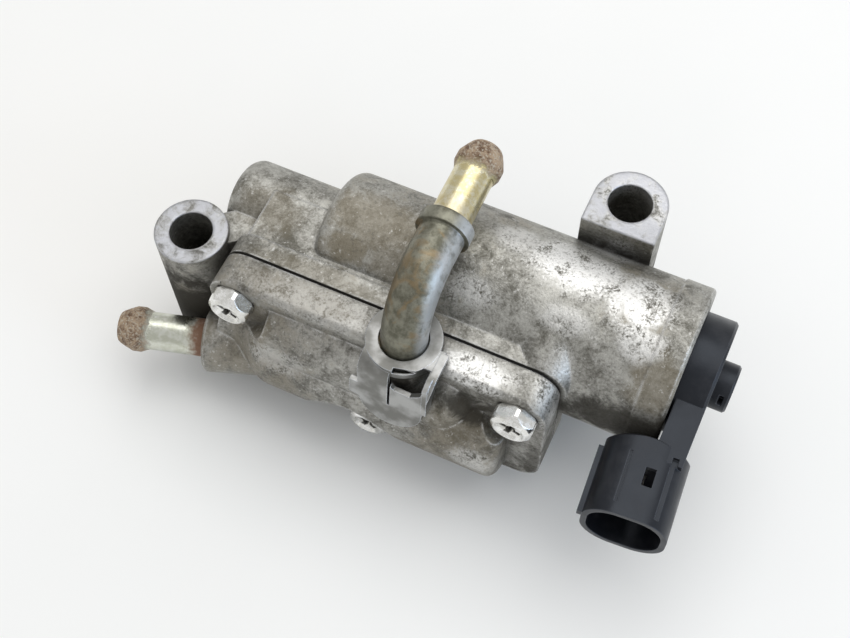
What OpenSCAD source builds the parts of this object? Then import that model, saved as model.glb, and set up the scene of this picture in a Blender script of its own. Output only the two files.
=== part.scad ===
// Idle air control valve for a car engine, with a water-heated casting and a rotary valve inside.
// The mounting face lies on z = 0. The origin is the axis of the short bolt boss on that face.
// X runs along the rotor towards the electrical end, Y runs from the water cover to the back.

/* [Mounting] */
// Distance along the valve between the two bolt holes
bolt_pitch_x = 75.9; // [72:0.1:80]
// Distance across the valve between the two bolt holes
bolt_pitch_y = 34.9; // [33.5:0.1:38]
// Diameter of both bolt holes
bolt_hole_d = 8.5; // [6:0.1:9.5]
// Outer diameter of both bolt bosses
bolt_boss_d = 14.4; // [13:0.1:16]
// Height of the short bolt boss above the mounting face
short_boss_h = 36; // [32:0.5:38]
// Thickness of the mounting flange
flange_t = 9; // [6:0.5:11]
// Diameter of the two air ports in the mounting face
port_d = 12; // [9:0.5:13]
// Distance between the two air ports
port_pitch = 18; // [16:0.5:20]

/* [Cylinder] */
// Height of the rotor axis above the mounting face
axis_z = 28.7; // [28:0.1:30]
// Distance of the rotor axis behind the short bolt hole
axis_y = 14.8; // [14:0.1:16]
// Place of the closed end of the casting along the rotor axis
casting_x0 = 2.1; // [1.5:0.1:3.5]
// Outer diameter of the small step
small_d = 17.2; // [16.5:0.1:18.5]
// Length of the small step
small_len = 21.4; // [20.4:0.1:22.4]
// Outer diameter of the middle step
middle_d = 27.3; // [26.5:0.1:28.5]
// Length of the middle step
middle_len = 22; // [21:0.5:24]
// Outer diameter of the large step
large_d = 32; // [31:0.1:33]
// Length of the large step
large_len = 45; // [43:0.5:46]
// Outer diameter of the end collar
collar_d = 32.6; // [32.4:0.1:34]
// Length of the end collar
collar_len = 6; // [5.5:0.5:8]
// Diameter of the chamber that the rotary valve turns in
chamber_d = 21.6; // [20:0.1:22]
// Diameter of the bore that holds the stator
stator_bore_d = 24; // [23.4:0.1:24.6]

/* [Water cover] */
// Height of the top edge of the cover above the mounting face
cover_top_z = 38.5; // [37.5:0.1:39.5]
// Height of the bottom edge of the cover above the mounting face
cover_bottom_z = 7.5; // [7:0.1:9]
// Thickness of the cover's flange
cover_flange_t = 6.8; // [5:0.1:7.5]
// Outer radius of the water channel on the cover
channel_r = 11; // [10:0.1:11.5]
// Wall thickness of the cover
cover_wall = 2.6; // [2:0.1:3.2]
// Thickness of the gasket under the cover
gasket_t = 0.6; // [0.4:0.1:1]
// Distance from the gasket's front face forward of the short bolt hole's axis
gasket_front = 1.7; // [1.5:0.1:2]

/* [Cover screws] */
// Thread diameter of the cover screws
screw_d = 5; // [4:0.1:5.2]
// Width across the flats of the screw heads
screw_head_af = 8; // [7:0.1:8.4]
// Height of the screw heads
screw_head_h = 3.5; // [3:0.1:4]
// Length of the screws under the head
screw_len = 11; // [9:0.1:11.2]

/* [Water pipes] */
// Outer diameter of both hose ends
hose_end_d = 7.8; // [7:0.1:8]
// Diameter of the bulges that hold the hoses
bead_d = 9.2; // [8.6:0.1:9.6]
// Bore of both water pipes
pipe_bore_d = 5.2; // [4.5:0.1:5.4]
// Outer diameter of the bent part of the elbow
elbow_d = 8.8; // [8.4:0.1:9]
// Radius of the elbow's bend
elbow_bend_r = 12.4; // [11.5:0.1:12.4]
// Height of the elbow's level leg above the cover's top edge
elbow_rise = 12.8; // [12.7:0.1:14.5]
// Distance of the hose end of the elbow behind the short bolt hole
elbow_end_y = 30.6; // [29:0.1:36]
// Visible length of the straight nipple
nipple_len = 18.4; // [16:0.1:22]
// Angle of the straight nipple forward of the rotor axis
nipple_yaw = 16; // [12:0.5:18]
// Thickness of the retainer's sheet
retainer_t = 1; // [0.8:0.1:1.2]

/* [Electrical end] */
// Diameter of the black end disc
end_disc_d = 24; // [23:0.1:24.2]
// Length of the end disc outside the casting
end_disc_len = 6; // [5:0.1:7]
// Diameter of the moulded pip in the middle of the end disc
end_pip_d = 9.4; // [8:0.1:10.5]
// Length of the moulded pip
end_pip_len = 3.4; // [2.5:0.1:4.5]
// Length of the connector shell
shell_len = 16.5; // [15:0.5:20]
// Outer width of the connector shell
shell_w = 15.6; // [15:0.1:16.4]
// Outer height of the connector shell
shell_h = 15; // [14.4:0.1:15.6]
// Wall thickness of the connector shell
shell_wall = 1.1; // [0.9:0.1:1.3]
// Angle of the connector shell away from square with the rotor
shell_yaw = 4; // [0:0.5:5]
// Width of the connector pins
pin_w = 2; // [1.5:0.1:2.3]

/* [Rotor] */
// Diameter of the rotor shaft
shaft_d = 4; // [3.5:0.1:4.2]
// Diameter of the magnet on the shaft
magnet_d = 12; // [11:0.1:12.2]
// Angle that the rotary valve's shutter covers
shutter_angle = 96; // [88:1:104]

/* [Hidden] */
$fn = 48;

// Colours
cast_grey = [0.60, 0.59, 0.56];
steel_grey = [0.72, 0.72, 0.70];
zinc_gold = [0.80, 0.74, 0.52];
pipe_brown = [0.50, 0.48, 0.42];
black_plastic = [0.10, 0.10, 0.12];
seal_black = [0.05, 0.05, 0.05];
tin_silver = [0.80, 0.80, 0.78];
copper = [0.72, 0.42, 0.20];
bronze = [0.66, 0.52, 0.28];

// Clearances
eps = 0.01;
slip = 0.05;
running_gap = 0.03;

// Places along the rotor axis
step_1_x = casting_x0 + small_len;
step_2_x = step_1_x + middle_len;
collar_x = step_2_x + large_len;
casting_x1 = collar_x + collar_len;
end_wall = 3;
thermo_bore_d = 12.4;
thermo_x0 = casting_x0 + end_wall;
bush_len = 5;
bush_d = 9;
chamber_x0 = step_1_x + 1;
bush_x0 = chamber_x0 - bush_len;
chamber_x1 = chamber_x0 + 35;
plate_t = 3;
rear_bush_d = 8;
cap_flange_d = 27;
cap_bore_d = cap_flange_d + 0.2;
cap_flange_x = collar_x - 2;
lip_len = 1.2;
lip_x = casting_x1 - lip_len;
cap_seal_x = cap_flange_x + 3.4;
cap_seal_t = 1.6;
stator_x0 = chamber_x1 + plate_t;
stator_x1 = cap_flange_x - 0.5;
stator_mid = (stator_x0 + cap_flange_x) / 2 - 0.5;

// Sizes of the stator
yoke_in_r = stator_bore_d / 2 - 1.3;
pole_r = magnet_d / 2 + 0.5;
pole_w = 4.4;
pole_len = 18;
bobbin_w = 8.8;
bobbin_len = 22.8;
bobbin_r0 = pole_r + 0.3;
bobbin_r1 = sqrt(pow(yoke_in_r, 2) - pow(bobbin_w / 2, 2)) - 0.15;
bobbin_t = 0.5;

// Rotary valve
valve_r = chamber_d / 2 - 0.5;
valve_hub_d = 7;
port_direction = 270;
lever_direction = 90;
rotor_range = 60;

// Bolt places
short_bolt = [0, 0];
tall_bolt = [bolt_pitch_x, bolt_pitch_y];
tall_ear_h = axis_z + large_d / 2 + 0.1;
ear_front_y = bolt_pitch_y - bolt_boss_d / 2 + 0.5;

// Port places
port_mid_x = 42;
port_x1 = port_mid_x - port_pitch / 2;
port_x2 = port_mid_x + port_pitch / 2;
port_y = axis_y;

// Cover places
cover_x0 = 8.5;
cover_x1 = 77.6;
cover_back_y = -gasket_front;
body_face_y = cover_back_y + gasket_t;
seat_y = cover_back_y - cover_flange_t;
screw_ear_r = 5.6;
screw_top_z = cover_top_z - screw_ear_r;
screw_left = [13.8, screw_top_z];
screw_right = [71.9, screw_top_z];
screw_bottom = [41.8, cover_bottom_z - 0.2];
channel_y = -4.5;
channel_z = 18.5;
water_x0 = 16;
water_x1 = 64;

// Pipe places
elbow_x = 48.5;
elbow_y = -5.9;
elbow_level_z = cover_top_z + elbow_rise;
bend_z = elbow_level_z - elbow_bend_r;
bend_y = elbow_y + elbow_bend_r;
elbow_collar_y = bend_y + 4;
elbow_collar_len = 2.6;
tube_grip = 5;
spigot_d = 6.2;
spigot_len = 10;
socket_top_z = cover_top_z + 0.1;
socket_d = 13;
foot_d = 11;
foot_t = 0.6;
seal_room = 0.8;
seal_depth = 1.8;
nipple_root = [5.9, -10.4, 13.8];
nipple_grip = 6;

// Connector places
end_disc_x1 = casting_x1 + end_disc_len;
shell_x = casting_x1 - 0.6;
shell_z = axis_z;
shell_back_y = -3;
shell_back_t = 5;
arm_x0 = casting_x1 + 0.5;
arm_top_z = shell_z + shell_h / 2 - 0.3;
arm_bottom_z = shell_z - 7;
pin_pitch = 4.2;
pin_t = 0.64;
bar_x = casting_x1 + 1.6;
bar_y = axis_y - 5.8;
bar_rise = 4;

// A cylinder along X
module x_rod(d, x0, x1) {
    translate([x0, 0, 0]) rotate([0, 90, 0]) cylinder(d = d, h = x1 - x0);
}

// A cylinder along the rotor axis
module axis_rod(d, x0, x1) {
    translate([0, axis_y, axis_z]) x_rod(d, x0, x1);
}

// A ring along the rotor axis
module axis_ring(d_out, d_in, x0, x1) {
    difference() {
        axis_rod(d_out, x0, x1);
        axis_rod(d_in, x0 - 1, x1 + 1);
    }
}

// A cylinder along Y from y0 back to y1
module y_rod(d, x, z, y0, y1) {
    translate([x, y1, z]) rotate([90, 0, 0]) cylinder(d = d, h = y1 - y0);
}

// A flat shape in XZ, given thickness from y0 back to y1
module y_plate(y0, y1) {
    translate([0, y1, 0]) rotate([90, 0, 0]) linear_extrude(y1 - y0) children();
}

// A band of the given width between two points
module link(p, q, w) {
    run = q - p;
    translate(p) rotate(atan2(run.y, run.x)) translate([0, -w / 2]) square([norm(run), w]);
}

// A rectangle with round corners
module round_rect(x0, z0, x1, z1, r) {
    translate([x0 + r, z0]) square([x1 - x0 - 2 * r, z1 - z0]);
    translate([x0, z0 + r]) square([x1 - x0, z1 - z0 - 2 * r]);
    for (x = [x0 + r, x1 - r], z = [z0 + r, z1 - r]) translate([x, z]) circle(r);
}

// Outline shared by the body's flange, the gasket and the cover, drawn in XZ
module cover_outline(inset = 0) {
    r = screw_ear_r - inset;
    round_rect(cover_x0 + inset, cover_bottom_z + inset, cover_x1 - inset, cover_top_z - inset, r);
    translate(screw_bottom) circle(r);
}

module screw_holes(d) {
    for (p = [screw_left, screw_right, screw_bottom]) translate(p) circle(d = d);
}

// Turns the profile plane so that its X is Y, its Y is Z and its Z is X, on the rotor axis
module on_axis() {
    translate([0, axis_y, axis_z]) rotate([90, 0, 90]) children();
}

// A sector round the rotor axis, from x0 to x1
module axis_sector(r0, r1, mid, width, x0, x1) {
    on_axis() translate([0, 0, x0]) rotate(mid - width / 2) rotate_extrude(angle = width)
        translate([r0, 0]) square([r1 - r0, x1 - x0]);
}

// Body

// Profile of a step with a rounded front edge, radius across and rotor axis up
module step_profile(r, x0, x1, edge) {
    translate([0, x0]) square([r - edge, edge + eps]);
    translate([0, x0 + edge]) square([r, x1 - x0 - edge]);
    translate([r - edge, x0 + edge]) intersection() {
        circle(edge);
        translate([-edge, -edge]) square([2 * edge, edge + eps]);
    }
}

module stepped_cylinder() {
    on_axis() rotate_extrude() {
        step_profile(small_d / 2, casting_x0, step_1_x + 2, 3);
        step_profile(middle_d / 2, step_1_x, step_2_x + 1, 2.6);
        step_profile(large_d / 2, step_2_x, collar_x + 1, 1.2);
        polygon([
            [0, collar_x - 0.2], [large_d / 2 - 0.4, collar_x - 0.2], [collar_d / 2, collar_x + 0.2],
            [collar_d / 2, casting_x1 - 0.5], [collar_d / 2 - 0.5, casting_x1], [0, casting_x1]
        ]);
    }
}

module bolt_bosses() {
    linear_extrude(short_boss_h) translate(short_bolt) circle(d = bolt_boss_d);
    linear_extrude(short_boss_h - 1.6) link(short_bolt, [casting_x0 + 10, axis_y - 5], 7);
    linear_extrude(tall_ear_h) intersection() {
        union() {
            translate(tall_bolt) circle(d = bolt_boss_d);
            translate([bolt_pitch_x - bolt_boss_d / 2, ear_front_y])
                square([bolt_boss_d, bolt_pitch_y - ear_front_y]);
        }
        translate([0, ear_front_y]) square(2 * bolt_pitch_x);
    }
    linear_extrude(axis_z) translate([bolt_pitch_x - bolt_boss_d / 2 + 1, axis_y])
        square([bolt_boss_d - 2, bolt_pitch_y - axis_y]);
}

module mounting_flange() {
    pad_d = port_d + 13;
    linear_extrude(flange_t) {
        translate(short_bolt) circle(d = bolt_boss_d);
        translate(tall_bolt) circle(d = bolt_boss_d + 1.6);
        link(short_bolt, [port_x1, port_y], bolt_boss_d - 1);
        link([port_x2, port_y], tall_bolt, bolt_boss_d);
        translate([port_x1, port_y]) circle(d = pad_d);
        translate([port_x2, port_y]) circle(d = pad_d);
        translate([port_x1, port_y - pad_d / 2]) square([port_pitch, pad_d]);
    }
    linear_extrude(axis_z) round_rect(port_x1 - 9.5, port_y - 9.4, port_x2 + 9.5, port_y + 9.4, 4);
}

module cover_mount() {
    lip_y = body_face_y + 4.2;
    y_plate(body_face_y, lip_y) cover_outline();
    // The hump behind the right screw
    intersection() {
        translate([screw_right.x + 0.8, body_face_y, screw_right.y]) rotate([-90, 0, 0])
            cylinder(r1 = screw_ear_r + 0.2, r2 = screw_ear_r + 4.2, h = 8);
        translate([0, body_face_y, axis_z - 2]) cube([cover_x1 + 2, 20, 30]);
    }
    // The shelf that joins the flange to the cylinder
    translate([cover_x0 + 2.5, body_face_y + 0.5, axis_z - 12])
        cube([cover_x1 - cover_x0 - 4.5, axis_y - body_face_y - 1, cover_top_z - 1 - axis_z + 12]);
}

module body_bores() {
    axis_rod(thermo_bore_d, thermo_x0, bush_x0);
    axis_rod(bush_d, bush_x0 - eps, chamber_x0 + eps);
    axis_rod(chamber_d, chamber_x0, chamber_x1);
    axis_rod(stator_bore_d, chamber_x1, cap_flange_x + eps);
    axis_rod(cap_bore_d, cap_flange_x, lip_x);
    axis_rod(end_disc_d + 0.3, lip_x - eps, casting_x1 + 1);
    for (x = [port_x1, port_x2]) translate([x, port_y, -1]) cylinder(d = port_d, h = axis_z);
    // Seal grooves round the ports
    for (x = [port_x1, port_x2]) translate([x, port_y, -1]) difference() {
        cylinder(d = port_d + 5.2, h = 2.4);
        translate([0, 0, -1]) cylinder(d = port_d + 1.8, h = 5);
    }
    for (p = [short_bolt, tall_bolt]) translate([p.x, p.y, -1])
        cylinder(d = bolt_hole_d, h = tall_ear_h + 2);
    // Machined face under the gasket
    translate([cover_x0 - 0.5, body_face_y - 20, -1])
        cube([cover_x1 - cover_x0 + 1, 20, cover_top_z + 2]);
    // Water pocket behind the gasket
    y_plate(body_face_y - 1, body_face_y + 1.4)
        round_rect(water_x0, channel_z - 7, water_x1, channel_z + 7, 4);
    y_plate(body_face_y - 1, seat_y + screw_len + 0.3) screw_holes(screw_d);
}

module valve_body() {
    color(cast_grey) difference() {
        union() {
            stepped_cylinder();
            bolt_bosses();
            mounting_flange();
            cover_mount();
        }
        body_bores();
    }
}

// Water cover

module nipple_frame() {
    translate(nipple_root) rotate([0, 0, 180 + nipple_yaw]) rotate([0, 90, 0]) children();
}

// Rounds the long top edge of the cover
module top_edge_cut() {
    edge = 1.4;
    z = cover_top_z - edge;
    y = seat_y + edge;
    difference() {
        translate([cover_x0 + screw_ear_r, y - edge - 1, z])
            cube([cover_x1 - cover_x0 - 2 * screw_ear_r, edge + 1, edge + 1]);
        translate([0, y, z]) x_rod(2 * edge, cover_x0, cover_x1);
    }
}

module cover_shell() {
    difference() {
        y_plate(seat_y, cover_back_y) cover_outline();
        top_edge_cut();
    }
    // Channel that bulges forward, with a smaller lobe above it
    intersection() {
        union() {
            translate([0, channel_y, channel_z]) x_rod(2 * channel_r, cover_x0 + 0.6, 70.6);
            translate([0, channel_y - 3.2, channel_z + 8.2]) x_rod(11.4, cover_x0 + 2.6, 66);
        }
        translate([cover_x0, channel_y - 20, channel_z - 12])
            cube([cover_x1, 20 + channel_y - cover_back_y - 2, 30]);
        y_plate(-30, cover_back_y - 1) difference() {
            round_rect(cover_x0 + 0.3, channel_z - 13, 70.8, channel_z + 15, 5);
            translate(screw_left) circle(r = screw_ear_r + 2);
            translate(screw_right) circle(r = screw_ear_r + 2.2);
            translate(screw_bottom) circle(r = screw_ear_r + 0.6);
        }
    }
    // Boss of the straight nipple
    difference() {
        intersection() {
            nipple_frame() translate([0, 0, -26]) cylinder(d1 = 10.5, d2 = 13.6, h = 26);
            translate([0, -30, 0]) cube([60, 30 + cover_back_y - 0.5, 60]);
        }
        translate([short_bolt.x, short_bolt.y, -1]) cylinder(d = bolt_boss_d + 1, h = 60);
    }
    // Socket of the elbow
    intersection() {
        translate([elbow_x, elbow_y, channel_z]) cylinder(d = socket_d, h = socket_top_z - channel_z);
        translate([0, -30, 0]) cube([90, 30 + cover_back_y, 60]);
    }
}

module water_cover() {
    color(cast_grey) difference() {
        cover_shell();
        // Water space
        intersection() {
            translate([0, channel_y, channel_z]) x_rod(2 * (channel_r - cover_wall), water_x0, water_x1);
            y_plate(-30, cover_back_y - 2)
                round_rect(water_x0, channel_z - 8.3, water_x1, channel_z + 8.3, 4);
        }
        y_plate(cover_back_y - 3, cover_back_y + 1)
            round_rect(water_x0, channel_z - 7, water_x1, channel_z + 7, 4);
        y_plate(seat_y - 1, cover_back_y + 1) screw_holes(screw_d + 0.5);
        // Seats of the pipes
        nipple_frame() translate([0, 0, -nipple_grip]) cylinder(d = hose_end_d, h = nipple_grip + 9);
        nipple_frame() translate([0, 0, -16]) cylinder(d = pipe_bore_d, h = 18);
        translate([elbow_x, elbow_y, 0]) {
            translate([0, 0, socket_top_z - spigot_len]) cylinder(d = spigot_d, h = spigot_len + 1);
            translate([0, 0, channel_z]) cylinder(d = pipe_bore_d, h = 30);
            translate([0, 0, socket_top_z - seal_depth])
                cylinder(d = spigot_d + 2 * seal_room, h = seal_depth + 1);
        }
    }
}

module cover_gasket() {
    color(seal_black) y_plate(cover_back_y, body_face_y) difference() {
        cover_outline(0.7);
        round_rect(water_x0, channel_z - 7, water_x1, channel_z + 7, 4);
        screw_holes(screw_d + 0.5);
    }
}

// Screws

module cross_recess() {
    for (a = [45, 135]) rotate(a) translate([-2.1, -0.55, -1.6]) cube([4.2, 1.1, 3]);
    translate([0, 0, -2.2]) cylinder(d1 = 0.8, d2 = 2.4, h = 2.6);
}

module cover_screw(p, turn) {
    r = screw_head_af / 2;
    color(steel_grey) translate([p.x, seat_y, p.y]) rotate([90, 0, 0]) rotate(turn) difference() {
        union() {
            intersection() {
                cylinder(r = screw_head_af / 2 / cos(30), h = screw_head_h, $fn = 6);
                rotate_extrude() polygon([
                    [0, 0], [r + 0.2, 0], [r + 0.45, 0.5], [r + 0.45, screw_head_h - 1.5],
                    [r - 0.1, screw_head_h - 0.5], [r - 0.8, screw_head_h], [0, screw_head_h]
                ]);
            }
            translate([0, 0, -screw_len]) cylinder(d = screw_d, h = screw_len + eps);
        }
        translate([0, 0, screw_head_h - 0.6]) cylinder(r1 = r - 1.8, r2 = r - 1.1, h = 0.7);
        translate([0, 0, screw_head_h - 0.6]) cross_recess();
    }
}

module cover_screw_left() {
    cover_screw(screw_left, 12);
}

module cover_screw_right() {
    cover_screw(screw_right, 22);
}

module cover_screw_bottom() {
    cover_screw(screw_bottom, 8);
}

// Pipes

// Profile of a hose end with its bulge and rounded rim, radius across and length up
module hose_end_profile(len) {
    r = hose_end_d / 2;
    bead = bead_d / 2;
    rim = pipe_bore_d / 2 + 0.5;
    difference() {
        polygon([
            [0, 0], [r, 0], [r, len - 6.4], [r + 0.15, len - 6], [bead, len - 4.6], [bead, len - 3],
            [r, len - 1.4], [r - 0.5, len - 0.4], [rim, len], [0, len]
        ]);
        translate([0, -1]) square([pipe_bore_d / 2, len + 2]);
    }
}

module straight_nipple() {
    color(zinc_gold) nipple_frame() translate([0, 0, -nipple_grip]) rotate_extrude()
        hose_end_profile(nipple_len + nipple_grip);
}

// A quarter bend from the upright leg to the level leg
module elbow_bend(d) {
    translate([elbow_x, bend_y, bend_z]) rotate([0, 90, 0]) rotate(180) rotate_extrude(angle = 90)
        translate([elbow_bend_r, 0]) circle(d = d);
}

module elbow_pipe() {
    collar_end_y = elbow_collar_y + elbow_collar_len;
    color(pipe_brown) difference() {
        union() {
            translate([elbow_x, elbow_y, socket_top_z - spigot_len + 1])
                cylinder(d = spigot_d - 2 * slip, h = spigot_len);
            translate([elbow_x, elbow_y, socket_top_z]) cylinder(d = foot_d, h = foot_t);
            translate([elbow_x, elbow_y, socket_top_z])
                cylinder(d = elbow_d, h = bend_z - socket_top_z + eps);
            elbow_bend(elbow_d);
            y_rod(elbow_d, elbow_x, elbow_level_z, bend_y - eps, elbow_collar_y + eps);
            y_rod(elbow_d + 1.7, elbow_x, elbow_level_z, elbow_collar_y, collar_end_y);
        }
        translate([elbow_x, elbow_y, 0]) cylinder(d = pipe_bore_d, h = bend_z + eps);
        elbow_bend(pipe_bore_d);
        y_rod(pipe_bore_d, elbow_x, elbow_level_z, bend_y - eps, collar_end_y + 1);
        y_rod(hose_end_d, elbow_x, elbow_level_z, collar_end_y - tube_grip, collar_end_y + 1);
    }
}

module elbow_hose_tube() {
    y0 = elbow_collar_y + elbow_collar_len - tube_grip;
    color(zinc_gold) translate([elbow_x, y0, elbow_level_z]) rotate([-90, 0, 0]) rotate_extrude()
        hose_end_profile(elbow_end_y - y0);
}

module elbow_seal() {
    r = seal_room / 2;
    color(seal_black) translate([elbow_x, elbow_y, socket_top_z - seal_depth + r]) rotate_extrude()
        translate([spigot_d / 2 - slip + r, 0]) circle(r);
}

// Sheet-metal saddle that holds the elbow down in its socket
module pipe_retainer() {
    t = retainer_t;
    z0 = socket_top_z + foot_t;
    fold_y = elbow_y - socket_d / 2 - 0.15;
    color(tin_silver) {
        difference() {
            union() {
                translate([elbow_x, elbow_y, z0]) cylinder(r = 7, h = t);
                translate([elbow_x - 6.6, fold_y - t, z0]) cube([14.8, 7, t]);
            }
            translate([elbow_x, elbow_y, z0 - 1]) cylinder(d = elbow_d + 0.6, h = t + 2);
            translate([elbow_x - 0.5, fold_y - 3, z0 - 1]) cube([0.6, 6, t + 2]);
        }
        // Apron in front of the socket
        translate([elbow_x, fold_y, z0 + t]) rotate([-9, 0, 0]) y_plate(-t, 0) difference() {
            union() {
                translate([-6.6, -10]) square([14.6, 10]);
                translate([0.6, -10]) circle(r = 7.6);
                translate([-8.2, -8]) square([2, 4]);
            }
            translate([-0.5, -16]) square([0.6, 17]);
            translate([0.9, -9]) square([6.2, 6.6]);
        }
        // Wing at the right of the socket
        translate([elbow_x + 7.2, 0, 0]) rotate([90, 0, 90]) linear_extrude(t) polygon([
            [fold_y - t, z0 + t], [elbow_y + 0.4, z0 + t], [elbow_y + 0.4, z0], [seat_y - 0.3, z0],
            [seat_y - 0.3, z0 - 2], [fold_y - 0.6, z0 - 7], [fold_y - t - 1, z0 - 7]
        ]);
    }
}

// Electrical end

module shell_frame() {
    translate([shell_x, shell_back_y, shell_z]) rotate([0, 0, shell_yaw]) rotate([90, 0, 0]) children();
}

module shell_outline(inset) {
    w = shell_w / 2 - inset;
    h = shell_h / 2 - inset;
    round_rect(-w, -h, w, h, 6.2 - inset);
}

module connector_shell() {
    shoulder = 4;
    shell_frame() {
        intersection() {
            linear_extrude(shell_len) shell_outline(0);
            rotate_extrude() {
                translate([0, shoulder]) square([9, shell_len]);
                square([9 - shoulder, shell_len]);
                translate([9 - shoulder, shoulder]) circle(shoulder);
            }
        }
        // Strip along the left side
        translate([-shell_w / 2 - 0.9, 0.6, 3]) cube([2, 1.6, shell_len - 3.2]);
    }
}

module shell_cuts() {
    top = shell_h / 2;
    shell_frame() {
        translate([0, 0, shell_back_t]) linear_extrude(shell_len) shell_outline(shell_wall);
        // Lock window, thin groove and wide groove
        translate([0.4, 0, 6.4]) cube([1.9, top + 1, 3.6]);
        translate([-3.1, top - 0.4, 4.2]) cube([0.5, 1, shell_len - 6.4]);
        translate([4.3, top - 1.1, 3]) cube([1.2, 2, shell_len - 4.6]);
    }
}

// Shape of one contact, from its blade in the shell to its end behind the cap
module contact_path(k) {
    blade_x = k * pin_pitch;
    z1 = shell_z - k * bar_rise;
    foot = 0.8;
    y_jog = shell_back_y - 2.6;
    x_blade = shell_x + blade_x * cos(shell_yaw);
    shell_frame() translate([blade_x - pin_w / 2, -pin_t / 2, 2.2])
        cube([pin_w, pin_t, shell_len - 6.2]);
    translate([x_blade - foot / 2, y_jog, min(shell_z, z1) - pin_t / 2])
        cube([foot, foot, abs(z1 - shell_z) + pin_t]);
    translate([min(x_blade, bar_x) - foot / 2, y_jog, z1 - pin_t / 2])
        cube([abs(bar_x - x_blade) + foot, foot, pin_t]);
    translate([bar_x - foot / 2, y_jog, z1 - pin_t / 2]) cube([foot, bar_y - y_jog + foot, pin_t]);
    translate([cap_flange_x - 1.2, bar_y, z1 - pin_t / 2])
        cube([bar_x - cap_flange_x + 1.2 + foot / 2, foot, pin_t]);
}

module end_cap() {
    disc_r = end_disc_d / 2;
    color(black_plastic) difference() {
        union() {
            on_axis() rotate_extrude() difference() {
                union() {
                    translate([0, cap_flange_x]) square([cap_flange_d / 2, lip_x - cap_flange_x]);
                    polygon([
                        [0, lip_x - 1], [disc_r, lip_x - 1], [disc_r, end_disc_x1 - 0.5],
                        [disc_r - 0.5, end_disc_x1], [0, end_disc_x1]
                    ]);
                    polygon([
                        [0, end_disc_x1 - 1], [end_pip_d / 2, end_disc_x1 - 1],
                        [end_pip_d / 2, end_disc_x1 + end_pip_len - 0.4],
                        [end_pip_d / 2 - 0.4, end_disc_x1 + end_pip_len], [0, end_disc_x1 + end_pip_len]
                    ]);
                }
                translate([cap_flange_d / 2 - 1.5, cap_seal_x - 1]) square([2, 2]);
            }
            translate([arm_x0, shell_back_y - 4, arm_bottom_z])
                cube([end_disc_x1 - arm_x0, axis_y - 4 - shell_back_y + 4, arm_top_z - arm_bottom_z]);
            connector_shell();
        }
        shell_cuts();
        for (k = [-1, 0, 1]) contact_path(k);
        // Notch in the pip
        translate([end_disc_x1 + 1.4, axis_y - 6, axis_z + 1]) cube([0.9, 3, 2]);
    }
}

module end_cap_seal() {
    r = cap_seal_t / 2;
    color(seal_black) on_axis() translate([0, 0, cap_seal_x]) rotate_extrude()
        translate([cap_bore_d / 2 - r, 0]) circle(r);
}

module connector_pin(k) {
    color(tin_silver) contact_path(k);
}

module connector_pin_left() {
    connector_pin(-1);
}

module connector_pin_middle() {
    connector_pin(0);
}

module connector_pin_right() {
    connector_pin(1);
}

// Stator

module stator_yoke() {
    color(steel_grey) axis_ring(stator_bore_d, 2 * yoke_in_r, stator_x0, stator_x1);
}

// A block over the rotor axis, with its width along Y, from radius r0 to r1
module radial_block(w, len, r0, r1) {
    on_axis() translate([-w / 2, r0, stator_mid - len / 2]) cube([w, r1 - r0, len]);
}

// Turns an upper stator piece to the lower side
module lower_side() {
    translate([0, axis_y, axis_z]) rotate([180, 0, 0]) translate([0, -axis_y, -axis_z]) children();
}

module pole_piece() {
    intersection() {
        radial_block(pole_w, pole_len, 0, yoke_in_r + 2);
        axis_ring(2 * yoke_in_r, 2 * pole_r, stator_mid - pole_len, stator_mid + pole_len);
    }
}

module pole_piece_upper() {
    color(steel_grey) pole_piece();
}

module pole_piece_lower() {
    color(steel_grey) lower_side() pole_piece();
}

module coil_bobbin() {
    difference() {
        union() {
            radial_block(bobbin_w, bobbin_len, bobbin_r0, bobbin_r0 + bobbin_t);
            radial_block(bobbin_w, bobbin_len, bobbin_r1 - bobbin_t, bobbin_r1);
            radial_block(pole_w + 2 * bobbin_t, pole_len + 2 * bobbin_t, bobbin_r0, bobbin_r1);
        }
        radial_block(pole_w, pole_len, bobbin_r0 - 1, bobbin_r1 + 1);
    }
}

module coil_bobbin_upper() {
    color(black_plastic) coil_bobbin();
}

module coil_bobbin_lower() {
    color(black_plastic) lower_side() coil_bobbin();
}

// The winding as one body, with round corners
module coil() {
    w = bobbin_w / 2 - 0.3;
    len = bobbin_len / 2 - 0.3;
    translate([stator_mid, axis_y, axis_z + bobbin_r0 + bobbin_t])
        linear_extrude(bobbin_r1 - bobbin_r0 - 2 * bobbin_t) difference() {
            round_rect(-len, -w, len, w, 1.4);
            square([pole_len + 2 * bobbin_t, pole_w + 2 * bobbin_t], center = true);
        }
}

module coil_upper() {
    color(copper) coil();
}

module coil_lower() {
    color(copper) lower_side() coil();
}

// Rotor

clip_x = bush_x0 - 1.3;
clip_t = 0.8;
lever_x = clip_x - 6;
shaft_x0 = lever_x - 3.6;
shaft_x1 = cap_flange_x - 1.5;

module rotor_shaft() {
    color(steel_grey) difference() {
        on_axis() rotate_extrude() polygon([
            [0, shaft_x0], [shaft_d / 2 - 0.4, shaft_x0], [shaft_d / 2, shaft_x0 + 0.4],
            [shaft_d / 2, shaft_x1 - 0.4], [shaft_d / 2 - 0.4, shaft_x1], [0, shaft_x1]
        ]);
        axis_ring(shaft_d + 2, shaft_d - 0.8, clip_x, clip_x + clip_t);
    }
}

module rotor_magnet() {
    color([0.25, 0.25, 0.27])
        axis_ring(magnet_d, shaft_d, stator_mid - pole_len / 2, stator_mid + pole_len / 2);
}

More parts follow.
